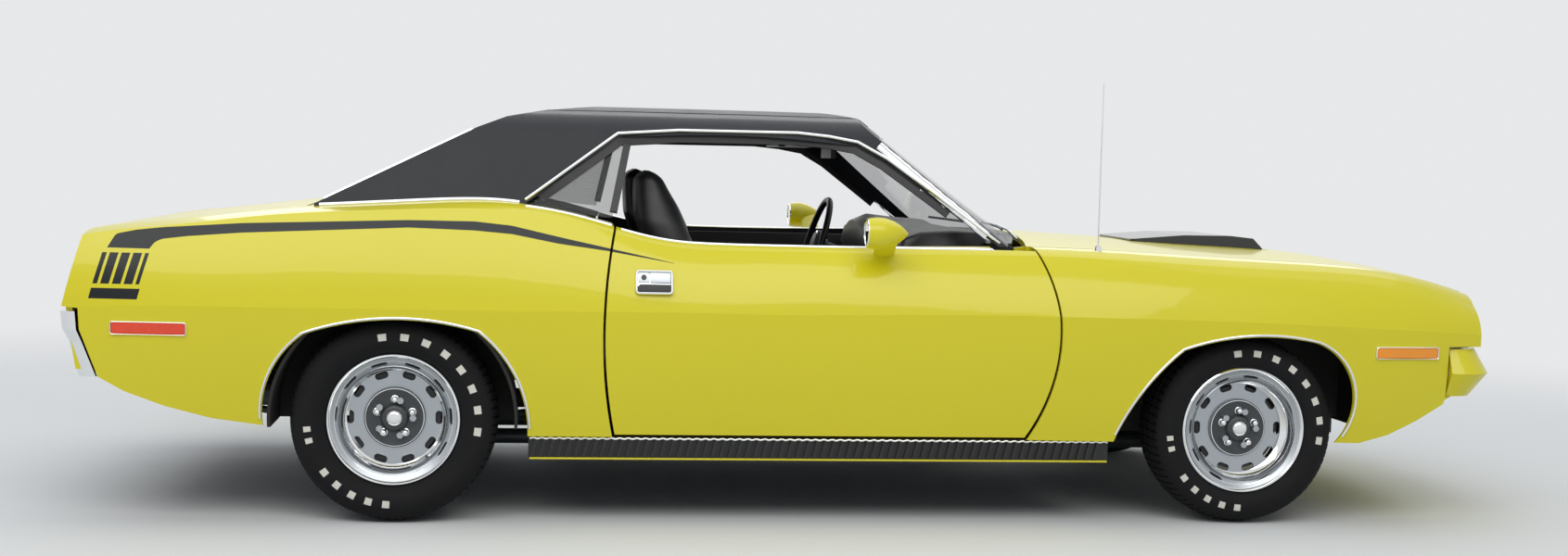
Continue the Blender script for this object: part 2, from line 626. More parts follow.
def wall_blocks(name, side, axle_x, radius, width, face):
    """Plain light blocks in two arcs on the tyre's outer wall."""
    belly, wall = wall_arc(radius, width, 41)
    strip = [(t, r) for t, r in wall if belly - 0.008 <= r <= belly + 0.014]
    rows, columns = len(strip), 5
    verts, faces = [], []
    for centre, span in WALL_BLOCKS:
        start = len(verts)
        for layer in (0.0009, -0.001):
            for t, r in strip:
                for c in range(columns):
                    a = math.radians(centre + span * (c / (columns - 1) - 0.5))
                    verts.append((axle_x - r * math.cos(a) * side, side * (face - t + layer),
                                  radius + r * math.sin(a)))

        def quads(spots, corners):
            """Faces from (layer, row, column) starts and the steps to each corner."""
            for spot in spots:
                ends = [[s + c for s, c in zip(spot, corner)] for corner in corners]
                faces.append([start + (layer * rows + row) * columns + c for layer, row, c in ends])

        inner_rows, inner_columns = range(rows - 1), range(columns - 1)
        quads([(0, row, c) for row in inner_rows for c in inner_columns], [(0, 0, 0), (0, 0, 1), (0, 1, 1), (0, 1, 0)])
        quads([(0, row, c) for row in inner_rows for c in (0, columns - 1)],
              [(0, 0, 0), (0, 1, 0), (1, 1, 0), (1, 0, 0)])
        quads([(0, row, c) for row in (0, rows - 1) for c in inner_columns],
              [(0, 0, 0), (0, 0, 1), (1, 0, 1), (1, 0, 0)])
    add_mesh("tyre_blocks_" + name, verts, faces, white_rubber, "wheel_" + name, smooth=False)


for name, side, axle_x, radius, width, face in WHEELS:
    make_tyre(name, side, axle_x, radius, width, face)
    wall_blocks(name, side, axle_x, radius, width, face)
    body = "wheel_" + name
    for part, profile, mat, steps, closed in (
            ("trim_ring_", TRIM_RING, chrome, 128, True), ("centre_plate_", CENTRE_PLATE, dark_steel, 96, True),
            ("centre_ring_", CENTRE_RING, chrome, 96, True), ("centre_cap_", CENTRE_CAP, chrome, 64, False)):
        lathe(part + name, profile, (axle_x, radius), face, side, mat, body, steps, closed)
    for lug in range(5):
        angle = math.radians(90 + 72 * lug)
        spot = (axle_x + LUG_CIRCLE * math.cos(angle), radius + LUG_CIRCLE * math.sin(angle))
        lathe(f"lug_{lug}_{name}", LUG, spot, face, side, chrome, body, 18, False)


# Bright mouldings round the roof, windows, arches and sills

SIDES = (("right", -1), ("left", 1))
roof_tree = bvh_of("roof")
quarter_tree = bvh_of("quarter_panels")
fender_tree = bvh_of("front_fenders")
glass_tree = bvh_of("window_glass")
rocker_tree = bvh_of("rocker_trim")
DRIP_LINE = [(R + x, z) for x, z in (
    (0.377, 0.998), (0.685, 1.228), (0.883, 1.243), (1.271, 1.245), (1.374, 1.236), (1.468, 1.220),
    (1.563, 1.168), (1.710, 1.061), (1.824, 0.977), (1.925, 0.902))]
REAR_ARCH = [(-0.393, 0.305), (-0.368, 0.470), (-0.269, 0.591), (-0.003, 0.639), (0.255, 0.604),
             (0.362, 0.480), (0.413, 0.276)]
FRONT_ARCH = [(-0.447, 0.273), (-0.363, 0.433), (-0.232, 0.576), (-0.013, 0.621), (0.216, 0.604),
              (0.353, 0.440), (0.304, 0.274)]
REAR_GLASS_END = R + 0.35
SILL_X = (R + 0.420, F - 0.465)
RIB_PITCH = 0.027


def arch_line(corners, axle_x, out=0.006):
    """Points just outside a wheel arch, made of three arcs."""
    points = []
    for i in (0, 2, 4):
        points += arc3(corners[i], corners[i + 1], corners[i + 2], 16)[(1 if i else 0):]
    moved = []
    for x, z in points:
        away = Vector((x, z - 0.32)).normalized() * out
        moved.append((axle_x + x + away.x, z + away.y))
    return moved


for tag, side in SIDES:
    rail = settle(on_skin(roof_tree, DRIP_LINE, side)[0], side)
    sweep("drip_rail_" + tag, rail, (0, side, 0.20), half_round(0.013, 0.010, sink=0.006))

    # The roof's lower edge on the quarter panel, found by halving
    crease = []
    for x in spaced(R - 0.245, 0.62, 30):
        low, high = 0.90, 1.06
        for _ in range(14):
            z = (low + high) / 2
            if side_hit(roof_tree, x, z, side):
                high = z
            else:
                low = z
        found = side_hit(roof_tree, x, high + 0.002, side)
        if found:
            crease.append(found[0])
    sweep("belt_moulding_" + tag, crease, (0, side * 0.75, 0.66), half_round(0.016, 0.008, sink=0.003))

    sill_path = from_above(quarter_tree, spaced(R + 0.395, 0.27, 12), side * 0.800)
    sweep("quarter_sill_moulding_" + tag, *sill_path, half_round(0.012, 0.005))
    door_path = from_above(bvh_of("door_" + tag), spaced(R + 0.695, 1.225, 40), side * 0.815)
    sweep("door_top_moulding_" + tag, *door_path, half_round(0.012, 0.005), body="door_" + tag)

    pillar = outer_edge(roof_tree, side, spaced(0.915, 0.310, 24), 3, 0.90, 0.001, 400,
                        lambda x: x > R + 1.45, 0.014)
    sweep("windshield_moulding_" + tag, pillar, (0.80, side * 0.25, 0.55), half_round(0.022, 0.006, sink=0.004))

    # Wide bright strip on the side of the windshield post
    strip = []
    for z in spaced(0.928, 0.284, 24):
        for step in range(190):
            edge_x = R + 2.05 - 0.004 * step
            if near_hit(roof_tree, edge_x, z, side):
                break
        strip.append(near_hit(roof_tree, edge_x - 0.037, z, side))
    path, normals = eased([found for found in strip if found], 20)
    sweep("post_strip_" + tag, settle(path, side, 3), normals, half_round(0.030, 0.004, sink=0.006))

    # Black seal under the drip rail, round the side window
    opening = Vector((R + 1.15, 0, 0.98))
    seal_path = [p for p in rail if R + 0.42 < p.x < R + 1.79]
    band = []
    for i, point in enumerate(seal_path):
        along = seal_path[min(i + 1, len(seal_path) - 1)] - seal_path[max(i - 1, 0)]
        inwards = Vector((-along.z, 0, along.x)).normalized()
        if inwards.dot(opening - point) < 0:
            inwards = -inwards
        band.append(point + inwards * 0.021 - Vector((0, side * 0.008, 0)))
    sweep("side_seal_" + tag, band, (0, side, 0.15), flat_bar(0.017, -0.008, 0.002), black_plastic)

    glass_edge = outer_edge(glass_tree, side, spaced(1.015, 0.20, 18), -3, 0.80, 0.002, 220,
                            lambda x: x < REAR_GLASS_END, 0.008)
    sweep("rear_glass_moulding_" + tag, glass_edge, (-0.70, 0, 0.70), half_round(0.018, 0.006))
    sail = [roof_tree.ray_cast(Vector((R - 0.235 + 0.455 * share, side * (0.715 - 0.112 * share), 1.5)), DOWN)[0]
            for share in spaced(0, 1, 20)]
    sweep("sail_edge_moulding_" + tag, [hit for hit in sail if hit is not None], (-0.45, 0, 0.89),
          half_round(0.012, 0.006, sink=0.003))

    for name, corners, axle_x, tree in (("rear", REAR_ARCH, R, quarter_tree),
                                        ("front", FRONT_ARCH, F, fender_tree)):
        path, normals = on_skin(tree, arch_line(corners, axle_x), side, step=0.03)
        sweep(f"arch_lip_{name}_{tag}", path, normals, half_round(0.009, 0.005))

    # The rocker's top edge is bright and gently scalloped, one wave to each rib
    found = [side_hit(rocker_tree, x, 0.262, side) for x in np.linspace(R + 0.45, F - 0.50, 60)]
    face_y = max(abs(hit[0].y) for hit in found if hit)
    sill = [Vector((x, side * (face_y - 0.001), 0.2695 + 0.0016 * math.cos(2 * math.pi * x / RIB_PITCH)))
            for x in np.linspace(*SILL_X, 480)]
    sweep("rocker_edge_" + tag, sill, (0, side, 0.25), half_round(0.008, 0.005))
    foot = [Vector((x, side * (face_y - 0.003), 0.206)) for x in np.linspace(*SILL_X, 24)]
    sweep("rocker_foot_" + tag, foot, (0, side, 0), half_round(0.007, 0.006), body_paint)

    # The black bar between the raised quarter glass and the lowered door glass
    seal = []
    for z in spaced(0.955, 0.262, 11):
        found = near_hit(glass_tree, R + 0.672 + (z - 0.95) * 0.2036 - 0.012, z, side)
        if found:
            seal.append(found[0] + Vector((0.006, 0, 0)))
    sweep("quarter_glass_bar_" + tag, seal, (0, side, 0.3), flat_bar(0.012, -0.010, 0.004), black_plastic)

header = [end_hit(roof_tree, y, 1.243, 3) for y in spaced(-0.56, 1.12, 40)]
sweep("header_moulding", [hit for hit in header if hit is not None], (0.80, 0, 0.60),
      half_round(0.020, 0.006, sink=0.004))
top_edge = [end_hit(glass_tree, y, 1.214, -3) for y in spaced(-0.58, 1.16, 30)]
top_edge = [hit for hit in top_edge if hit is not None and hit.x < REAR_GLASS_END]
sweep("rear_glass_top_moulding", top_edge, (-0.70, 0, 0.70), half_round(0.016, 0.006))
for tag, side in SIDES:
    seam = from_above(roof_tree, spaced(R + 0.345, 1.19, 40), side * 0.445)
    sweep("vinyl_seam_" + tag, *seam, half_round(0.010, 0.0022), vinyl)


# Side markers, door handles, mirrors, lamps, grille and plate

HANDLE_Z = 0.766

for name, low_x, high_x, low_z, high_z, tree in (
        ("rear", R - 0.838, R - 0.620, 0.586, 0.617, quarter_tree),
        ("front", F + 0.422, F + 0.637, 0.560, 0.591, fender_tree)):
    for tag, side in SIDES:
        loop = rounded_loop((low_x - 0.003, low_z - 0.003), (high_x + 0.003, high_z + 0.003), 0.006)
        path, normals = eased([side_hit(tree, x, z, side) for x, z in loop])
        sweep(f"marker_frame_{name}_{tag}", path, normals, half_round(0.006, 0.008), closed=True)

for tag, side in SIDES:
    door = "door_" + tag
    spot, normal = side_hit(bvh_of("handle_" + tag), R + 0.797, HANDLE_Z, side)
    tilt = side * math.degrees(math.atan2(normal.z, abs(normal.y)))
    loop = [Vector((x, spot.y - side * 0.001 - (z - HANDLE_Z) * normal.z / normal.y, z))
            for x, z in rounded_loop((R + 0.7415, 0.7325), (R + 0.8515, 0.7995), 0.008)]
    sweep("handle_frame_" + tag, loop, normal, half_round(0.008, 0.006), body=door, closed=True)
    for part, x0, x1, z0, z1, proud, mat in (("slot", 0.744, 0.849, 0.7355, 0.7610, 0.0015, black_plastic),
                                             ("pad", 0.7460, 0.7810, 0.7630, 0.7965, 0.0035, satin_steel),
                                             ("paddle", 0.7830, 0.8475, 0.7630, 0.7965, 0.0045, satin_steel)):
        base_y = spot.y - ((z0 + z1) / 2 - HANDLE_Z) * normal.z / normal.y
        block(f"handle_{part}_{tag}", (R + x0, base_y - side * 0.002, z0), (R + x1, base_y + side * proud, z1),
              mat, door, "chrome", bevel=0.0010, turn=("X", tilt))
    turned("handle_lock_" + tag,
           [(0.0, 0.0085), (0.0055, 0.0085), (0.0062, 0.007), (0.0062, 0.003), (0.0045, 0.0)],
           (R + 0.7635, spot.y - 0.014 * normal.z / normal.y, 0.780), normal, dark_steel, door, "chrome",
           steps=24)
    centre = Vector((R + 1.524 - 0.066, side * 0.952, 0.935))
    turned("mirror_rim_" + tag,
           [(0.006, 0.0455), (-0.003, 0.0450), (-0.0045, 0.0425), (-0.003, 0.040), (0.002, 0.039)], centre,
           (1, 0, 0), body=door, closed=True)
    turned("mirror_glass_" + tag, [(0.001, 0.0), (0.0012, 0.020), (0.002, 0.0395), (0.004, 0.0395), (0.004, 0.0)],
           centre - Vector((0.003, 0, 0)), (1, 0, 0), mirror_glass, door)


def on_tail(low, high, radius, proud):
    """Rounded loop on the tail panel's leaning face."""
    return [Vector((R - 0.980 + TAIL_LEAN * (z - 0.660) / TAIL_HEIGHT - proud, y, z))
            for y, z in rounded_loop(low, high, radius)]


for tag, side in SIDES:
    for number, lamp_y in enumerate((0.690, 0.580, 0.470)):
        loop = [Vector((spot.x, side * spot.y, spot.z))
                for spot in on_tail((lamp_y - 0.047, 0.688), (lamp_y + 0.047, 0.838), 0.008, 0.008)]
        sweep(f"tail_lamp_frame_{number}_{tag}", loop, (-0.97, 0, 0.23), half_round(0.008, 0.004, sink=0.010),
              closed=True)
    turned("lamp_bezel_" + tag, [(-0.016, 0.0605), (0.002, 0.0600), (0.006, 0.0625), (0.006, 0.068),
                                 (0.000, 0.074), (-0.016, 0.076)],
           (F + 0.774, side * LAMP_Y, LAMP_Z), (1, 0, 0), steps=72, closed=True)
    block("turn_lamp_" + tag, (F + 0.662, side * 0.440, 0.347), (F + 0.690, side * 0.560, 0.387), amber_lens,
          bevel=0.008)
loop = [Vector((F + 0.7655, y, z)) for y, z in rounded_loop((-0.548, 0.598), (0.548, 0.742), 0.020)]
tube("grille_surround", loop, 0.0055, closed=True)
tube("plate_frame", on_tail((-0.155, 0.667), (0.155, 0.822), 0.010, 0.004), 0.0040, closed=True)
block("blank_plate", (R - 0.9655, -0.152, 0.6690), (R - 0.9615, 0.152, 0.8200), white_paint, slot="chrome",
      bevel=0.0012, turn=("Y", math.degrees(math.atan2(TAIL_LEAN, TAIL_HEIGHT))))


# Wipers at the foot of the windshield

def shield_x(y, z):
    """Where the curved and raked windshield stands at one spot."""
    return F - 0.813 + 0.160 * (1 - (y / 0.8) ** 2) - (z - 0.901) * 0.447 / 0.330


for number, (pivot_y, tip_y) in enumerate(((0.10, 0.58), (-0.44, 0.02))):
    blade = []
    for k in range(15):
        y = pivot_y + 0.02 + (tip_y - pivot_y - 0.02) * k / 14
        z = 0.932 + 0.010 * k / 14
        blade.append(Vector((shield_x(y, z) + 0.012, y, z + 0.006)))
    tube(f"wiper_blade_{number}", blade, 0.0045, black_plastic, sides=8)
    middle = blade[7] + Vector((0.006, 0, 0.004))
    foot = Vector((shield_x(pivot_y, 0.905) + 0.030, pivot_y, 0.906))
    tube(f"wiper_arm_{number}", [foot, foot.lerp(middle, 0.5) + Vector((0.004, 0, 0.006)), middle], 0.0045,
         satin_steel, slot="chrome", sides=8)


# Seats: each cushion is a crowned closed form with sewn channels, placed point by point

# Distance of the seats, the steering wheel and the dials' hood from the centre line
SEAT_Y = 0.385
SEAT_EDGE = 0.034
CHANNEL_PITCH = 0.046


def padded_form(name, levels, centre_y, place, zones, replaced, rings=84, fronts=121, backs=37):
    """levels: (along, back face, front face, half width); zones: (centre, half width, from, to), channelled."""
    at = np.linspace(levels[0][0], levels[-1][0], rings)
    given = [row[0] for row in levels]
    back, front, half = [np.interp(at, given, [row[i] for row in levels]) for i in (1, 2, 3)]
    for values in (back, front, half):
        for _ in range(5):
            values[1:-1] = (values[:-2] + 2 * values[1:-1] + values[2:]) / 4
    near = np.minimum(at - at[0], at[-1] - at)
    closing = np.sqrt(np.clip(1 - (1 - np.clip(near / SEAT_EDGE, 0, 1)) ** 2, 0.02, 1))
    share = (at - at[0]) / (at[-1] - at[0])
    half = half * (1 - 0.022 * np.sin(np.pi * share)) * (0.88 + 0.12 * closing)
    middle, depth = (back + front) / 2, (front - back) / 2 * closing
    t_front = np.sin(np.pi / 2 * np.linspace(-1, 1, fronts))
    t_back = np.sin(np.pi / 2 * np.linspace(1, -1, backs))[1:-1]
    verts = []
    for k in range(rings):
        p = half[k] * t_front
        q = middle[k] + depth[k] * np.sqrt(np.clip(1 - np.abs(t_front) ** 5, 0, 1))
        for centre, zone_half, low, high in zones:
            offset = p - centre
            within = np.clip((zone_half - np.abs(offset)) / 0.004, 0, 1)
            window = min(max((at[k] - low) / 0.010, 0), 1) * min(max((high - at[k]) / 0.010, 0), 1)
            line = np.abs((offset + CHANNEL_PITCH / 2) % CHANNEL_PITCH - CHANNEL_PITCH / 2)
            # Channels, the seam at each side of the zone, the seams at its ends, then its flat sink
            q = q - 0.0065 * np.exp(-(line / 0.0055) ** 2) * within * window
            q = q - 0.0075 * np.exp(-((np.abs(offset) - zone_half) / 0.0065) ** 2) * window
            ends = math.exp(-((at[k] - low) / 0.008) ** 2) + math.exp(-((at[k] - high) / 0.008) ** 2)
            q = q - 0.0070 * ends * within
            q = q - 0.0060 * within * window
        verts += [place(at[k], centre_y + y, depth_at) for y, depth_at in zip(p, q)]
        q = middle[k] - depth[k] * np.sqrt(np.clip(1 - np.abs(t_back) ** 9, 0, 1))
        verts += [place(at[k], centre_y + y, depth_at) for y, depth_at in zip(half[k] * t_back, q)]
    n = fronts + backs - 2
    faces = grid_faces(rings, n) + [tuple(range(n)), tuple(range((rings - 1) * n, rings * n))]
    obj = add_mesh(name, verts, faces, leather, sharp=60)
    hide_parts(replaced)


def upright(z, y, x):
    return (R + x, y, z)


def lying(x, y, z):
    return (R + x, y, z)


BACK_LEVELS = [(0.436, 0.950, 1.066, 0.200), (0.60, 0.892, 1.036, 0.212), (0.78, 0.834, 0.992, 0.216),
               (0.891, 0.780, 0.947, 0.214), (0.945, 0.761, 0.922, 0.205), (0.994, 0.757, 0.899, 0.180),
               (1.040, 0.755, 0.870, 0.160), (1.085, 0.756, 0.845, 0.148), (1.110, 0.764, 0.828, 0.130)]
CUSHION_LEVELS = [(0.974, 0.324, 0.448, 0.205), (1.02, 0.323, 0.455, 0.222), (1.20, 0.323, 0.465, 0.226),
                  (1.42, 0.323, 0.477, 0.224), (1.470, 0.330, 0.474, 0.218), (1.487, 0.350, 0.455, 0.205)]
BENCH_LEVELS = [(0.394, 0.472, 0.503, 0.575), (0.43, 0.450, 0.508, 0.590), (0.49, 0.382, 0.512, 0.597),
                (0.79, 0.384, 0.519, 0.597), (0.825, 0.430, 0.515, 0.592), (0.846, 0.462, 0.490, 0.580)]
BENCH_BACK_LEVELS = [(0.473, 0.066, 0.374, 0.585), (0.56, 0.072, 0.372, 0.597), (0.70, 0.078, 0.306, 0.597),
                     (0.90, 0.090, 0.214, 0.592), (0.932, 0.100, 0.192, 0.580)]
for tag, side in SIDES:
    padded_form("seat_back_" + tag, BACK_LEVELS, side * SEAT_Y, upright, [(0, 0.138, 0.50, 0.915)],
                "front_backs", rings=110)
    padded_form("seat_cushion_" + tag, CUSHION_LEVELS, side * SEAT_Y, lying, [(0, 0.138, 1.00, 1.43)],
                "front_cushions")
    for end, inner in (("inner", -1), ("outer", 1)):
        runner_y = side * SEAT_Y + inner * 0.150
        block(f"seat_runner_{tag}_{end}", (R + 1.02, runner_y - 0.010, 0.305),
              (R + 1.42, runner_y + 0.010, 0.324), dark_steel, bevel=0.002)
padded_form("rear_bench", BENCH_LEVELS, 0.0, lying, [(-0.30, 0.184, 0.43, 0.79), (0.30, 0.184, 0.43, 0.79)],
            "rear_cushion", fronts=241, backs=61)
padded_form("rear_bench_back", BENCH_BACK_LEVELS, 0.0, upright,
            [(-0.30, 0.184, 0.58, 0.875), (0.30, 0.184, 0.58, 0.875)], "rear_back", fronts=241, backs=61)


# Cabin: dash pad, dials, steering wheel hub, console, door trims and carpet

PAD_OUTLINE = [(1.640, 0.800), (1.618, 0.850), (1.632, 0.905), (1.690, 0.930), (1.800, 0.938),
               (1.885, 0.934), (1.930, 0.895), (1.930, 0.800)]
PAD_CENTRE = (1.78, 0.87)
pad_steps = [-0.640, -0.632, -0.615] + spaced(-0.59, 1.18, 30) + [0.615, 0.632, 0.640]
verts = []
for y in pad_steps:
    shrink = {0.640: 0.90, 0.632: 0.97}.get(round(abs(y), 3), 1.0)
    hood = 0.030 * math.exp(-((y - SEAT_Y) / 0.17) ** 4)
    for x, z in PAD_OUTLINE:
        lifted_z = z + (hood if z > 0.90 else 0.0) * (1.0 if x < 1.75 else 0.35)
        verts.append((R + PAD_CENTRE[0] + (x - PAD_CENTRE[0]) * shrink, y,
                      PAD_CENTRE[1] + (lifted_z - PAD_CENTRE[1]) * shrink))
n = len(PAD_OUTLINE)
faces = grid_faces(len(pad_steps), n) + [tuple(range(n)), tuple(range(len(verts) - n, len(verts)))]
add_mesh("dash_pad", verts, faces, leather, slot="black_plastic", sharp=50)
block("dash_cluster", (R + 1.690, 0.185, 0.735), (R + 1.80, 0.585, 0.862), black_plastic, bevel=0.014)
block("dash_glovebox", (R + 1.762, -0.600, 0.722), (R + 1.80, -0.210, 0.838), black_gloss,
      slot="black_plastic", bevel=0.006)
block("dash_radio", (R + 1.758, -0.100, 0.742), (R + 1.80, 0.120, 0.800), black_gloss, slot="black_plastic")
for number, (dial_y, size) in enumerate(((0.245, 0.034), (0.340, 0.045), (0.445, 0.045), (0.540, 0.034))):
    spot = Vector((R + 1.690, dial_y, 0.798))
    turned(f"dial_ring_{number}", [(0.004, size), (0.004, size + 0.004), (-0.006, size + 0.003),
                                   (-0.007, size), (-0.004, size - 0.002)], spot, (1, 0, 0), steps=40, closed=True)
    turned(f"dial_face_{number}", [(-0.001, 0.0), (-0.001, size - 0.001), (0.004, size - 0.001), (0.004, 0.0)],
           spot, (1, 0, 0), black_plastic, steps=40)
    for tick in range(11):
        a = math.radians(-40 + 26 * tick)
        tube(f"dial_tick_{number}_{tick}", [spot + Vector((-0.0016, reach * math.cos(a), reach * math.sin(a)))
                                            for reach in (size * 0.74, size * 0.92)], 0.0008, white_paint, sides=6)
    tube(f"dial_pointer_{number}", [spot + Vector((-0.0025, 0.006, -0.004)),
                                    spot + Vector((-0.0025, -size * 0.62, size * 0.40))],
         0.0010, amber_lens, slot="black_plastic", sides=6)
for number in range(3):
    turned(f"radio_knob_{number}", [(0.0, 0.011), (-0.014, 0.010), (-0.016, 0.008), (-0.016, 0.0)],
           (R + 1.758, -0.080 + 0.090 * number, 0.771), (1, 0, 0), steps=24)

hub = Vector((R + 1.480, SEAT_Y, 0.838))
wheel_axis = Vector((-0.9563, 0, 0.2924))
turned("horn_pad", [(-0.030, 0.050), (-0.006, 0.060), (0.004, 0.058), (0.010, 0.046), (0.012, 0.020),
                    (0.012, 0.0)], hub, wheel_axis, black_plastic, "steering_wheel")
turned("horn_ring", [(0.005, 0.056), (0.008, 0.053), (0.0065, 0.0495), (0.003, 0.052)], hub, wheel_axis,
       body="steering_wheel", closed=True)
block("console", (R + 1.02, -0.095, 0.372), (R + 1.60, 0.095, 0.470), black_plastic, bevel=0.020)
tube("shift_lever", [(R + 1.42, 0, 0.462), (R + 1.41, 0, 0.540), (R + 1.38, 0, 0.610)], 0.0065)
turned("shift_knob", [(-0.024, 0.008), (-0.018, 0.018), (0.0, 0.024), (0.016, 0.018), (0.024, 0.0)],
       (R + 1.377, 0, 0.622), (-0.3, 0, 1), white_paint, steps=32)
turned("shift_boot", [(0.0, 0.062), (0.010, 0.058), (0.018, 0.040), (0.040, 0.016), (0.050, 0.008)],
       (R + 1.42, 0, 0.466), (0, 0, 1), leather, slot="black_plastic", steps=40)
block("tunnel_carpet", (R + 0.860, -0.154, 0.240), (R + 2.085, 0.154, 0.377), carpet, bevel=0.022)
# The inner face of the door trim, which carries its fittings
TRIM_Y = 0.7712
for tag, side in SIDES:
    door = "door_" + tag
    block("floor_carpet_" + tag, (R + 0.868, side * 0.150, 0.2345), (R + 1.945, side * 0.738, 0.2425), carpet,
          bevel=0.003)
    block("door_trim_" + tag, (R + 0.715, side * 0.7805, 0.315), (R + 1.865, side * 0.7710, 0.868), leather, door)
    block("arm_rest_" + tag, (R + 1.06, side * 0.7725, 0.600), (R + 1.47, side * 0.7180, 0.655), leather, door,
          bevel=0.018)
    for number, height in enumerate((0.515, 0.735)):
        line = [Vector((x, side * TRIM_Y, height)) for x in spaced(R + 0.74, 1.08, 24)]
        sweep(f"door_trim_strip_{number}_{tag}", line, (0, -side, 0), half_round(0.009, 0.003), body=door)
    turned("crank_base_" + tag, [(0.0, 0.026), (0.010, 0.024), (0.014, 0.014), (0.014, 0.0)],
           (R + 1.56, side * TRIM_Y, 0.560), (0, -side, 0), body=door, steps=32)
    tube("crank_arm_" + tag, [(R + 1.56, side * 0.7590, 0.560), (R + 1.53, side * 0.7480, 0.590),
                              (R + 1.50, side * 0.7450, 0.620)], 0.006, body=door)
    turned("crank_knob_" + tag, [(0.0, 0.008), (0.006, 0.013), (0.024, 0.012), (0.028, 0.0)],
           (R + 1.50, side * 0.7450, 0.620), (0, -side, 0), black_plastic, door, steps=24)
    tube("door_pull_" + tag, [(R + 1.30, side * TRIM_Y, 0.700), (R + 1.31, side * 0.745, 0.704),
                              (R + 1.40, side * 0.745, 0.704), (R + 1.41, side * TRIM_Y, 0.700)], 0.006, body=door)
    block("sun_visor_" + tag, (R + 1.300, side * 0.090, 1.205), (R + 1.440, side * 0.480, 1.217), leather,
          bevel=0.005)


# Engine bay: what shows with the hood up

BANK_TILT = 24
for tag, side in SIDES:
    block("valve_cover_" + tag, (F - 0.500, side * 0.160, 0.590), (F + 0.030, side * 0.290, 0.670), black_gloss,
          bevel=0.022, turn=("X", -side * BANK_TILT))
    block("cylinder_head_" + tag, (F - 0.530, side * 0.165, 0.520), (F + 0.060, side * 0.305, 0.602),
          engine_paint, bevel=0.008, turn=("X", -side * BANK_TILT))
    for number in range(4):
        x = F - 0.440 + 0.140 * number
        tube(f"exhaust_runner_{number}_{tag}", [(x, side * 0.280, 0.545), (x, side * 0.330, 0.520),
                                               (x - 0.02, side * 0.345, 0.460)], 0.021, cast)
        turned(f"plug_boot_{number}_{tag}", [(0.0, 0.010), (0.030, 0.009), (0.034, 0.0)],
               (x + 0.03, side * 0.225, 0.665), (0, side * 0.4, 1), black_plastic, steps=16)
    tube("exhaust_log_" + tag, [(F - 0.500, side * 0.345, 0.450), (F + 0.010, side * 0.345, 0.450)], 0.027, cast,
         sides=14)
block("intake_plenum", (F - 0.440, -0.150, 0.640), (F - 0.020, 0.150, 0.735), satin_steel, bevel=0.014)
turned("fan_hub", [(-0.020, 0.060), (0.012, 0.058), (0.020, 0.040), (0.030, 0.036), (0.030, 0.0)],
       (F + 0.190, 0, 0.520), (1, 0, 0), dark_steel, steps=40)
for number in range(6):
    a = math.radians(60 * number + 15)
    tip = Vector((0, math.cos(a), math.sin(a)))
    cross = Vector((0.35, -math.sin(a), math.cos(a))).normalized()
    corners = [Vector((F + 0.212, 0, 0.520)) + tip * r + cross * w
               for r, w in ((0.035, -0.022), (0.195, -0.045), (0.195, 0.045), (0.035, 0.022))]
    back = [c - Vector((0.003, 0, 0)) for c in corners]
    add_mesh(f"fan_blade_{number}", corners + back,
             [(0, 1, 2, 3), (7, 6, 5, 4), (0, 4, 5, 1), (1, 5, 6, 2), (2, 6, 7, 3), (3, 7, 4, 0)], satin_steel,
             smooth=False)
for number, (y, z, rim) in enumerate(((0.0, 0.345, 0.078), (0.185, 0.600, 0.042), (-0.190, 0.500, 0.055))):
    turned(f"pulley_{number}", [(0.0, rim), (0.008, rim - 0.010), (0.016, rim), (0.020, rim), (0.020, 0.0)],
           (F + 0.165, y, z), (1, 0, 0), dark_steel, steps=36)
tube("upper_hose", [(F + 0.120, 0.060, 0.700), (F + 0.200, 0.080, 0.735), (F + 0.320, 0.170, 0.700),
                    (F + 0.420, 0.230, 0.620), (F + 0.440, 0.240, 0.590)],
     0.023, rubber, slot="black_plastic", sides=14)
tube("lower_hose", [(F + 0.150, -0.120, 0.420), (F + 0.280, -0.200, 0.380), (F + 0.440, -0.260, 0.350)],
     0.023, rubber, slot="black_plastic", sides=14)
block("radiator_tank", (F + 0.442, -0.322, 0.588), (F + 0.488, 0.322, 0.640), black_gloss, bevel=0.016)
turned("radiator_cap", [(0.0, 0.030), (0.012, 0.032), (0.018, 0.028), (0.020, 0.0)],
       (F + 0.465, -0.060, 0.640), (0, 0, 1), steps=32)
block("battery", (F + 0.270, 0.300, 0.372), (F + 0.430, 0.470, 0.575), black_plastic, bevel=0.006)
for number, post_x in enumerate((F + 0.300, F + 0.400)):
    turned(f"battery_post_{number}", [(0.0, 0.012), (0.020, 0.010), (0.020, 0.0)], (post_x, 0.345, 0.574),
           (0, 0, 1), satin_steel, steps=20)
turned("brake_booster", [(0.0, 0.100), (0.030, 0.118), (0.050, 0.118), (0.080, 0.085), (0.086, 0.0)],
       (F - 0.636, 0.360, 0.660), (1, 0, 0), satin_steel)
block("master_cylinder", (F - 0.555, 0.325, 0.640), (F - 0.420, 0.395, 0.715), cast, bevel=0.008)
block("washer_bottle", (F + 0.240, -0.470, 0.374), (F + 0.390, -0.330, 0.590), white_paint, bevel=0.020)
block("heater_box", (F - 0.634, -0.520, 0.560), (F - 0.560, -0.240, 0.760), black_plastic, bevel=0.014)
tube("wire_loom", [(F - 0.632, 0.520, 0.720), (F - 0.400, 0.470, 0.745), (F - 0.100, 0.460, 0.745),
                   (F + 0.200, 0.440, 0.700), (F + 0.330, 0.400, 0.590)], 0.009, black_plastic)
block("trunk_mat", (R - 0.715, -0.590, 0.3995), (R - 0.345, 0.590, 0.4050), carpet, bevel=0.002)


# Camera: the photograph's own viewpoint

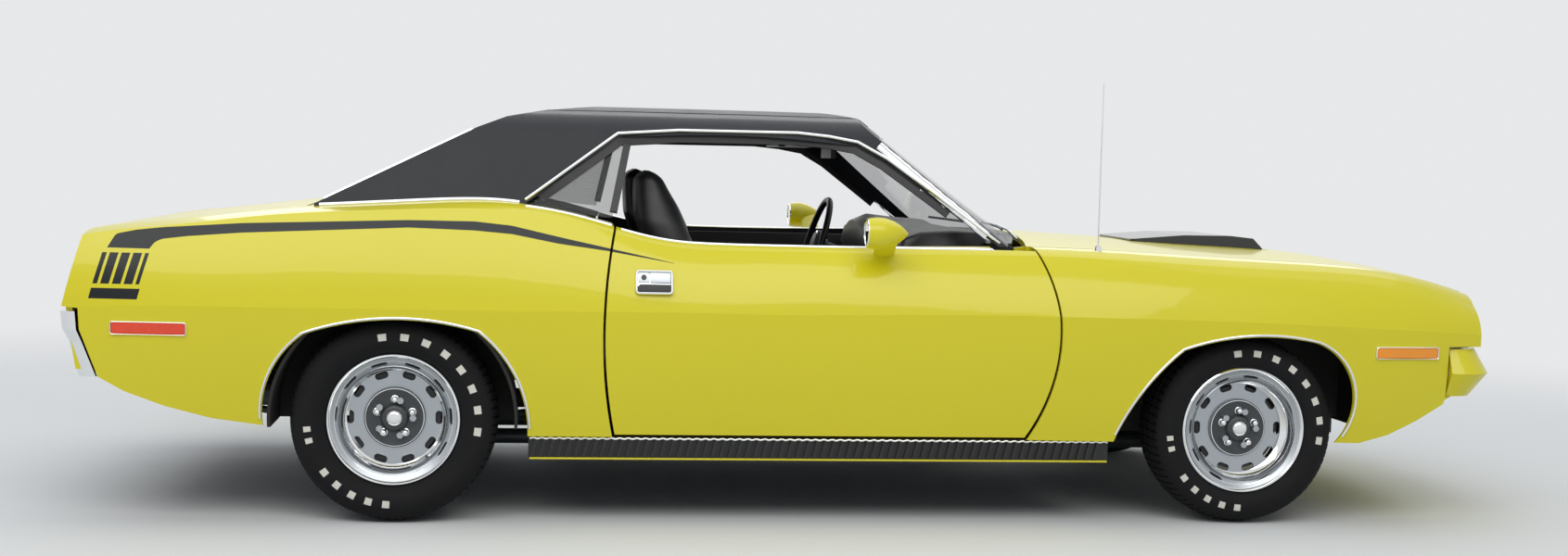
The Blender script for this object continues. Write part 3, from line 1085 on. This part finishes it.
EYE = (-0.9482, -7.1636, 1.1599)
yaw, pitch, roll = math.radians(7.318), math.radians(-3.387), math.radians(-1.448)
right = Vector((math.cos(yaw), -math.sin(yaw), 0))
forward = Vector((math.sin(yaw), math.cos(yaw), 0))
up = Vector((0, 0, 1))
ahead = forward * math.cos(pitch) + up * math.sin(pitch)
lifted = up * math.cos(pitch) - forward * math.sin(pitch)
camera_x = right * math.cos(roll) - lifted * math.sin(roll)
camera_y = lifted * math.cos(roll) + right * math.sin(roll)
camera_data = bpy.data.cameras.new("camera")
camera_data.sensor_width = 36.0
camera_data.lens = 46.14
camera_data.clip_end = 200
camera = bpy.data.objects.new("camera", camera_data)
bpy.context.scene.collection.objects.link(camera)
camera.matrix_world = Matrix([(camera_x[i], camera_y[i], -ahead[i], EYE[i]) for i in range(3)] + [(0, 0, 0, 1)])
bpy.context.scene.camera = camera


# Floor, backdrop light and lamps

BACKDROP = (0.80, 0.81, 0.82, 1)
FLOOR_HALF = 60
FADE_START, FADE_END = 3.2, 7.5
floor_mesh = bpy.data.meshes.new("floor")
floor_mesh.from_pydata([(FLOOR_HALF * x, FLOOR_HALF * y, 0) for x, y in ((-1, -1), (1, -1), (1, 1), (-1, 1))],
                       [], [(0, 1, 2, 3)])
floor = bpy.data.objects.new("floor", floor_mesh)
bpy.context.scene.collection.objects.link(floor)
floor_look = shader("floor", (0.78, 0.79, 0.80), 0.85, ("noise", 30, 0.02, 0.002), mottle=0.01,
                    mottle_scale=0.6, specular=0.1)
floor_mesh.materials.append(floor_look)


def seen_ray(tree):
    """One on camera, glossy and transmission rays."""
    path = tree.nodes.new("ShaderNodeLightPath").outputs
    return maths(tree, "MAXIMUM", maths(tree, "MAXIMUM", path["Is Camera Ray"], path["Is Glossy Ray"]),
                 path["Is Transmission Ray"])


def mixed_surface(tree, amount, near, far, output):
    """Blend from one shader to another, wired to the output node."""
    mixed = wire(tree, "ShaderNodeMixShader", {"Fac": amount, 1: near, 2: far})
    tree.links.new(mixed.outputs["Shader"], tree.nodes[output].inputs["Surface"])


# Far from the car the floor fades into the backdrop's own colour
tree = floor_look.node_tree
spot = tree.nodes.new("ShaderNodeTexCoord").outputs["Object"]
length = wire(tree, "ShaderNodeVectorMath", {0: spot}, "LENGTH").outputs["Value"]
fade = wire(tree, "ShaderNodeMapRange", {"From Min": FADE_START, "From Max": FADE_END, "Value": length})
fade.interpolation_type = "SMOOTHSTEP"
plain = wire(tree, "ShaderNodeEmission", {"Color": BACKDROP})
mixed_surface(tree, maths(tree, "MULTIPLY", fade.outputs["Result"], seen_ray(tree)),
              tree.nodes["Principled BSDF"].outputs["BSDF"], plain.outputs["Emission"], "Material Output")


def lamp(name, location, target, size, power, colour=(1, 1, 1)):
    data = bpy.data.lights.new(name, "AREA")
    data.shape = "RECTANGLE"
    data.size, data.size_y = size
    data.energy = power
    data.color = colour
    obj = bpy.data.objects.new(name, data)
    bpy.context.scene.collection.objects.link(obj)
    obj.location = location
    obj.rotation_euler = (Vector(target) - Vector(location)).to_track_quat("-Z", "Y").to_euler()


lamp("key", (-1.5, -6.5, 6.5), (0, 0, 0.6), (12, 5), 450, (1.0, 0.99, 0.96))
lamp("top", (0, 1.0, 7.5), (0, 0, 0.5), (14, 8), 290, (0.95, 0.98, 1.0))
lamp("rim", (1.0, 7.5, 4.5), (0, 0, 0.8), (10, 3), 150)

world = bpy.data.worlds.new("world")
bpy.context.scene.world = world
world.use_nodes = True
tree = world.node_tree
sky = fill(tree, tree.nodes["Background"], {"Color": (0.84, 0.90, 0.96, 1), "Strength": 0.32})
backdrop = wire(tree, "ShaderNodeBackground", {"Color": BACKDROP, "Strength": 1.0})
mixed_surface(tree, seen_ray(tree), sky.outputs["Background"], backdrop.outputs["Background"], "World Output")
bpy.context.scene.view_settings.view_transform = "Standard"
